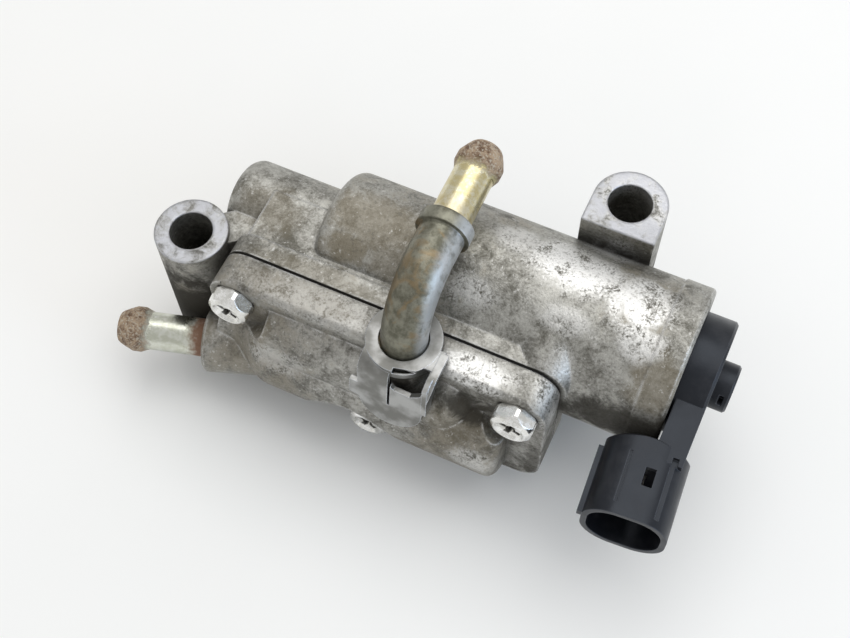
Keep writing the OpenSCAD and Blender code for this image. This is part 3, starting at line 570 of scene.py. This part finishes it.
# Places of the water cover and the retainer, in millimetres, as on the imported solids
COVER_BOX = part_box("water_cover")
COVER_LEFT = 8.5
COVER_RIGHT = COVER_BOX[1][0] / MM
COVER_TOP = 38.5
COVER_BOTTOM = 7.5
COVER_BACK = COVER_BOX[1][1] / MM
COVER_SEAT = -8.5
COVER_EDGE = 1.6
EAR_RADIUS = 5.6
SCREW_HOLE_RADIUS = 2.75
SCREW_HEAD_ROOM = 2.1
SCREWS = {
    "left": (13.8, COVER_TOP - EAR_RADIUS),
    "right": (71.9, COVER_TOP - EAR_RADIUS),
    "bottom": (41.8, COVER_BOTTOM - 0.2),
}
CHANNEL = (-4.5, 18.5)
CHANNEL_RADIUS = 11.0
CHANNEL_LEFT = COVER_LEFT + 3.5
CHANNEL_RIGHT = COVER_RIGHT - 7
SHOULDER_RADIUS = 9.2
SHOULDER_DROP = 3.3
SCALLOP = (40.3, 8.3)
SCALLOP_RADIUS = 12.0
ELBOW = (48.5, -5.9)
SOCKET_RADIUS = 6.5
SOCKET_TOP = COVER_TOP + 0.1
SOCKET_BORE_RADIUS = 3.1
SOCKET_BORE_DEPTH = 10
SEAT_RADIUS = 3.9
SEAT_DEPTH = 1.8
NIPPLE_SEAT_DEPTH = 6
NIPPLE_BOSS = [(-26, 0), (-26, 5.25), (-0.5, 6.75), (0, 6.3), (0, 0)]
SHORT_BOSS_ROOM = 7.7
SHEET = 1.0
SHEET_LOW = SOCKET_TOP + 0.6
SHEET_TOP = SHEET_LOW + SHEET
SHEET_FRONT = ELBOW[1] - SOCKET_RADIUS - 0.6
BEND_RADIUS = 3.4
APRON_LEAN = 81.5
APRON_LENGTH = 14.0
COLLAR_RADIUS = 7.1
COLLAR_HOLE_RADIUS = 4.7
RIM_RADIUS = 7.05
RIM_DEPTH = 1.4

# Limits past the whole part, for cutters that go right through it
FAR = 60
NEAR = -30


def solid(name, bm):
    """Turns a finished bmesh into an object of the scene."""
    bmesh.ops.recalc_face_normals(bm, faces=bm.faces)
    mesh = bpy.data.meshes.new(name)
    bm.to_mesh(mesh)
    bm.free()
    obj = bpy.data.objects.new(name, mesh)
    bpy.context.scene.collection.objects.link(obj)
    return obj


def prism(outline, axis, low, high, name="prism"):
    """Extrudes a closed outline along one axis; its two numbers are the other two axes in order."""
    place = {
        "x": lambda a, b, c: (c, a, b),
        "y": lambda a, b, c: (a, c, b),
        "z": lambda a, b, c: (a, b, c),
    }[axis]
    bm = bmesh.new()
    first = [bm.verts.new(Vector(place(a, b, low)) * MM) for a, b in outline]
    last = [bm.verts.new(Vector(place(a, b, high)) * MM) for a, b in outline]
    bm.faces.new(first)
    bm.faces.new(last)
    for i in range(len(outline)):
        j = (i + 1) % len(outline)
        bm.faces.new((first[i], first[j], last[j], last[i]))
    return solid(name, bm)


def lathe(profile, place, steps=72, name="lathe"):
    """Turns a profile of points along and out from the local Z of place."""
    bm = bmesh.new()
    rings = []
    for along, radius in profile:
        turns = [math.tau * k / steps for k in range(steps)] if radius > 0 else [0.0]
        spots = [Vector((radius * math.cos(a), radius * math.sin(a), along)) for a in turns]
        rings.append([bm.verts.new((place @ spot) * MM) for spot in spots])
    for near, far in zip(rings, rings[1:]):
        for k in range(steps):
            corners = [near[k % len(near)], near[(k + 1) % len(near)]]
            corners += [far[(k + 1) % len(far)], far[k % len(far)]]
            bm.faces.new(list(dict.fromkeys(corners)))
    return solid(name, bm)


def rod(place, radius, low, high):
    """A plain round bar along the local Z of place."""
    return lathe([(low, 0), (low, radius), (high, radius), (high, 0)], place)


def upright(x, y):
    return Matrix.Translation((x, y, 0))


def combine(target, other, operation):
    """Applies a boolean to target and removes the other solid."""
    modifier = target.modifiers.new("combine", "BOOLEAN")
    modifier.operation = operation
    modifier.solver = "EXACT"
    modifier.object = other
    graph = bpy.context.evaluated_depsgraph_get()
    mesh = bpy.data.meshes.new_from_object(target.evaluated_get(graph))
    target.modifiers.clear()
    target.data = mesh
    bpy.data.objects.remove(other)
    return target


def arc(x, z, radius, start, end, steps=8):
    """Points of an arc between two angles in degrees."""
    turns = [math.radians(start + (end - start) * k / steps) for k in range(steps + 1)]
    return [(x + radius * math.cos(a), z + radius * math.sin(a)) for a in turns]


def circle(x, z, radius, steps=64):
    return arc(x, z, radius, 0, 360, steps)[:-1]


def round_outline(x0, z0, x1, z1, r):
    """A rectangle with rounded corners."""
    return (arc(x1 - r, z1 - r, r, 0, 90) + arc(x0 + r, z1 - r, r, 90, 180)
            + arc(x0 + r, z0 + r, r, 180, 270) + arc(x1 - r, z0 + r, r, 270, 360))


def swelling(y, z, radius, end_radius, x_start, x_full, x_end, edge):
    """A turned form along X that swells between x_start and x_full and ends, rounded, at x_end."""
    profile = [(x_start - 3, 0), (x_start - 3, end_radius)]
    steps = 12
    for k in range(steps + 1):
        t = k / steps
        rise = t * t * (3 - 2 * t)
        profile.append((x_start + (x_full - x_start) * t, end_radius + (radius - end_radius) * rise))
    profile += [(x, r) for r, x in arc(radius - edge, x_end - edge, edge, 0, 90)]
    profile.append((x_end, 0))
    return lathe(profile, Matrix.Translation((0, y, z)) @ Matrix.Rotation(math.radians(90), 4, "Y"))


def make_channel():
    """The channel and its shoulder, kept clear of the three screws."""
    form = swelling(*CHANNEL, radius=CHANNEL_RADIUS, end_radius=6.5, x_start=CHANNEL_LEFT,
                    x_full=CHANNEL_LEFT + 9.5, x_end=CHANNEL_RIGHT, edge=2.2)
    shoulder = swelling(CHANNEL[0] - 0.1, COVER_TOP - SHOULDER_DROP - SHOULDER_RADIUS,
                        radius=SHOULDER_RADIUS, end_radius=3.5, x_start=CHANNEL_LEFT + 1,
                        x_full=CHANNEL_LEFT + 10.5, x_end=CHANNEL_RIGHT - 6.6, edge=7)
    combine(form, shoulder, "UNION")
    outline = round_outline(COVER_LEFT + 0.3, CHANNEL[1] - 13, CHANNEL_RIGHT + 0.2, CHANNEL[1] + 17, 5)
    combine(form, prism(outline, "y", NEAR, COVER_BACK - 1), "INTERSECT")
    for name in ("left", "right"):
        room = circle(*SCREWS[name], EAR_RADIUS + SCREW_HEAD_ROOM)
        combine(form, prism(room, "y", -40, 0), "DIFFERENCE")
    # The scallop that leaves room for a driver on the bottom screw
    combine(form, prism(circle(*SCALLOP, SCALLOP_RADIUS), "y", -40, 0), "DIFFERENCE")
    return form


def make_plate():
    """The cover's plate with the ear of the bottom screw and a rounded upper front edge."""
    outline = round_outline(COVER_LEFT, COVER_BOTTOM, COVER_RIGHT, COVER_TOP, EAR_RADIUS)
    plate = prism(outline, "y", COVER_SEAT, COVER_BACK, "water_cover_form")
    combine(plate, prism(circle(*SCREWS["bottom"], EAR_RADIUS), "y", COVER_SEAT, COVER_BACK), "UNION")
    top_edge = [(COVER_SEAT - 1, COVER_TOP + 1), (COVER_SEAT - 1, COVER_TOP - COVER_EDGE)]
    top_edge += arc(COVER_SEAT + COVER_EDGE, COVER_TOP - COVER_EDGE, COVER_EDGE, 180, 90)
    top_edge += [(COVER_SEAT + COVER_EDGE, COVER_TOP + 1)]
    combine(plate, prism(top_edge, "x", COVER_LEFT + 3, COVER_RIGHT - 3), "DIFFERENCE")
    return plate


def make_cover():
    """The water cover with the swell of its channel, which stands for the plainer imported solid."""
    cover = make_plate()
    combine(cover, make_channel(), "UNION")
    nipple = Matrix.Translation((*NIPPLE_ROOT, NIPPLE_Z))
    nipple = nipple @ Matrix.Rotation(math.radians(180 + NIPPLE_YAW), 4, "Z")
    nipple = nipple @ Matrix.Rotation(math.radians(90), 4, "Y")
    boss = lathe(NIPPLE_BOSS, nipple)
    front = [(0, NEAR), (FAR, NEAR), (FAR, COVER_BACK - 0.5), (0, COVER_BACK - 0.5)]
    combine(boss, prism(front, "z", 0, FAR), "INTERSECT")
    combine(boss, rod(upright(0, 0), SHORT_BOSS_ROOM, -1, FAR), "DIFFERENCE")
    combine(cover, boss, "UNION")
    combine(cover, rod(upright(*ELBOW), SOCKET_RADIUS, CHANNEL[1], SOCKET_TOP), "UNION")
    back = prism([(0, COVER_BACK), (90, COVER_BACK), (90, 20), (0, 20)], "z", 0, FAR)
    combine(cover, back, "DIFFERENCE")
    for spot in SCREWS.values():
        combine(cover, prism(circle(*spot, SCREW_HOLE_RADIUS), "y", -20, 0), "DIFFERENCE")
    combine(cover, rod(nipple, SEAT_RADIUS, -NIPPLE_SEAT_DEPTH, 3), "DIFFERENCE")
    bore = rod(upright(*ELBOW), SOCKET_BORE_RADIUS, SOCKET_TOP - SOCKET_BORE_DEPTH, SOCKET_TOP + 1)
    combine(cover, bore, "DIFFERENCE")
    combine(cover, rod(upright(*ELBOW), SEAT_RADIUS, SOCKET_TOP - SEAT_DEPTH, SOCKET_TOP + 1), "DIFFERENCE")
    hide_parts("water_cover")
    return cover


def retainer_section():
    """Side view of the retainer's sheet, level on top and bent down into the apron, as Y and Z."""
    middle = (SHEET_FRONT - SHEET + BEND_RADIUS, SHEET_TOP - BEND_RADIUS)
    outer = arc(*middle, BEND_RADIUS, 90, 90 + APRON_LEAN)
    inner = arc(*middle, BEND_RADIUS - SHEET, 90 + APRON_LEAN, 90)
    lean = math.radians(APRON_LEAN)
    run = (-APRON_LENGTH * math.cos(lean), -APRON_LENGTH * math.sin(lean))
    foot = [(outer[-1][0] + run[0], outer[-1][1] + run[1]), (inner[0][0] + run[0], inner[0][1] + run[1])]
    return [(ELBOW[1], SHEET_TOP)] + outer + foot + inner + [(ELBOW[1], SHEET_LOW)]


def from_front(outline):
    """A cutter through the retainer from the front, with its outline measured from the elbow's axis."""
    return prism([(ELBOW[0] + x, SHEET_TOP + z) for x, z in outline], "y", NEAR, ELBOW[1] + 1)


def make_apron():
    """The bent front of the retainer with its tongue at the left, its slit and its window."""
    apron = prism(retainer_section(), "x", ELBOW[0] - 9, ELBOW[0] + 10, "pipe_retainer_form")
    outline = [(-5.8, 1), (-5.65, -6.8), (-7.3, -6.8), (-7.3, -10.6), (-5.35, -11)]
    outline += arc(1, -9.9, 6.4, 190, 360, 16) + [(8.9, -1), (8.9, 1)]
    combine(apron, from_front(outline), "INTERSECT")
    combine(apron, from_front([(0.4, -10.2), (0.9, -10.2), (0.9, 2), (0.4, 2)]), "DIFFERENCE")
    window = [(0.8, 2), (0.8, -4), (1.6, -4.8), (4.8, -5), (6.8, -3.6), (7.4, -1.5), (7.4, 2)]
    combine(apron, from_front(window), "DIFFERENCE")
    return apron


def make_collar():
    """The level ring round the elbow, open in front where the window is."""
    x, y = ELBOW
    collar = rod(upright(x, y), COLLAR_RADIUS, SHEET_LOW, SHEET_TOP)
    room = [(x + 0.8, NEAR), (x + 7.4, NEAR), (x + 7.4, y - 4.6), (x + 0.8, y - 6.2)]
    combine(collar, prism(room, "z", 0, FAR), "DIFFERENCE")
    return collar


def make_rim():
    """The turned-down edge of the collar, in front of the socket."""
    x, y = ELBOW
    rim = rod(upright(x, y), RIM_RADIUS, SHEET_LOW - RIM_DEPTH, SHEET_LOW + 0.1)
    inside = rod(upright(x, y), SOCKET_RADIUS + 0.2, SHEET_LOW - 3, SHEET_TOP + 3)
    combine(rim, inside, "DIFFERENCE")
    back = COVER_SEAT - 0.4
    front = [(x - 5, NEAR), (x + 9, NEAR), (x + 9, back), (x - 5, back)]
    combine(rim, prism(front, "z", 0, FAR), "INTERSECT")
    return rim


def make_wing():
    """The wing that is bent down at the right of the socket."""
    lap = 0.07
    seat = COVER_SEAT - 0.3
    behind = ELBOW[1] + 0.3
    wing = [(SHEET_FRONT - 1, SHEET_TOP - 1), (SHEET_FRONT + 1, SHEET_TOP - lap), (behind, SHEET_TOP - lap)]
    wing += [(behind, SHEET_LOW + lap), (seat, SHEET_LOW + lap), (seat, SHEET_LOW - 2)]
    wing += [(SHEET_FRONT + 0.4, SHEET_LOW - 8), (SHEET_FRONT - 1.9, SHEET_LOW - 8)]
    return prism(wing, "x", ELBOW[0] + 7.2, ELBOW[0] + 8.2)


def make_strip():
    """The level strip that joins the collar to the wing."""
    x, y = ELBOW
    lap = 0.04
    strip = [(x + 5, y - 4), (x + 8.2, y - 4), (x + 8.2, y + 0.4), (x + 5, y + 0.4)]
    return prism(strip, "z", SHEET_LOW + lap, SHEET_TOP - lap)


def make_retainer():
    """The saddle: collar with a turned-down rim, bent apron with a tongue and window, and a side wing."""
    retainer = make_apron()
    for add in (make_collar, make_rim, make_wing, make_strip):
        combine(retainer, add(), "UNION")
    hole = rod(upright(*ELBOW), COLLAR_HOLE_RADIUS, SHEET_LOW - 3, SHEET_TOP + 3)
    combine(retainer, hole, "DIFFERENCE")
    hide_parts("pipe_retainer")
    return retainer


def finish_piece(piece, material):
    """Smooth faces with crisp edges, the material, and a ride on the housing."""
    piece.data.materials.clear()
    piece.data.materials.append(material)
    piece.data.shade_smooth()
    piece.data.set_sharp_from_angle(angle=math.radians(32))
    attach(piece, "housing")


def smooth_nodes():
    """All faces of the imported nodes shade smoothly."""
    for obj in node_objects.values():
        for face in obj.data.polygons:
            face.use_smooth = True


def make_floor():
    """A wide plain pale sheet under the part."""
    size = 1.6
    corners = [(-size, -size, 0), (size, -size, 0), (size, size, 0), (-size, size, 0)]
    mesh = bpy.data.meshes.new("floor")
    mesh.from_pydata(corners, [], [(0, 1, 2, 3)])
    floor = bpy.data.objects.new("floor", mesh)
    bpy.context.scene.collection.objects.link(floor)
    g = Graph("floor_paper")
    shade = g.noise(60, detail=2, offset=90)
    colour = g.mix(g.step(shade, 0.3, 0.7), (0.885, 0.885, 0.872), (0.900, 0.898, 0.886))
    floor.data.materials.append(g.finish(colour, 0.75, 0.0, None, Specular_IOR_Level=0.2))


def look_along(obj, place, right, down):
    """Places a camera or lamp by its right and down directions."""
    forward = right.cross(down)
    turn = Matrix((right, -down, -forward)).transposed().to_4x4()
    obj.matrix_world = Matrix.Translation(place) @ turn


def make_camera():
    """The camera that matches the photograph."""
    data = bpy.data.cameras.new("photo_camera")
    data.sensor_width = SENSOR_WIDTH
    data.lens = SENSOR_WIDTH * FOCAL_PIXELS / PHOTO_WIDTH
    data.clip_start = 0.01
    data.clip_end = 10
    camera = bpy.data.objects.new("photo_camera", data)
    bpy.context.scene.collection.objects.link(camera)
    right = CAMERA_RIGHT.normalized()
    down = (CAMERA_DOWN - CAMERA_DOWN.dot(right) * right).normalized()
    look_along(camera, CAMERA_PLACE, right, down)
    bpy.context.scene.camera = camera


def make_lamp(name, place, target, size, power, colour):
    """A rectangular area lamp, with its place, target and size in metres."""
    data = bpy.data.lights.new(name, "AREA")
    data.shape = "RECTANGLE"
    data.size = size[0]
    data.size_y = size[1]
    data.energy = power
    data.color = colour
    lamp = bpy.data.objects.new(name, data)
    bpy.context.scene.collection.objects.link(lamp)
    aim = (Vector(target) - Vector(place)).to_track_quat("-Z", "Y")
    lamp.matrix_world = Matrix.Translation(Vector(place)) @ aim.to_matrix().to_4x4()


def make_light():
    """Soft light from above and behind, a weak cool light from the right and a pale sky."""
    middle = (0.045, 0.01, 0.02)
    make_lamp("sky_panel", (0.12, 0.33, 1.05), middle, (1.3, 0.9), 6.2, (1.0, 0.995, 0.98))
    make_lamp("window_side", (0.85, -0.05, 0.30), middle, (0.4, 0.4), 1.6, (0.56, 0.75, 1.0))
    world = bpy.data.worlds.new("studio")
    world.use_nodes = True
    background = world.node_tree.nodes["Background"]
    background.inputs["Color"].default_value = (1.0, 1.0, 0.995, 1.0)
    background.inputs["Strength"].default_value = 0.66
    bpy.context.scene.world = world


make_camera()
smooth_nodes()
dress_nodes()
make_floor()
make_light()
bpy.context.scene.view_settings.view_transform = "Standard"
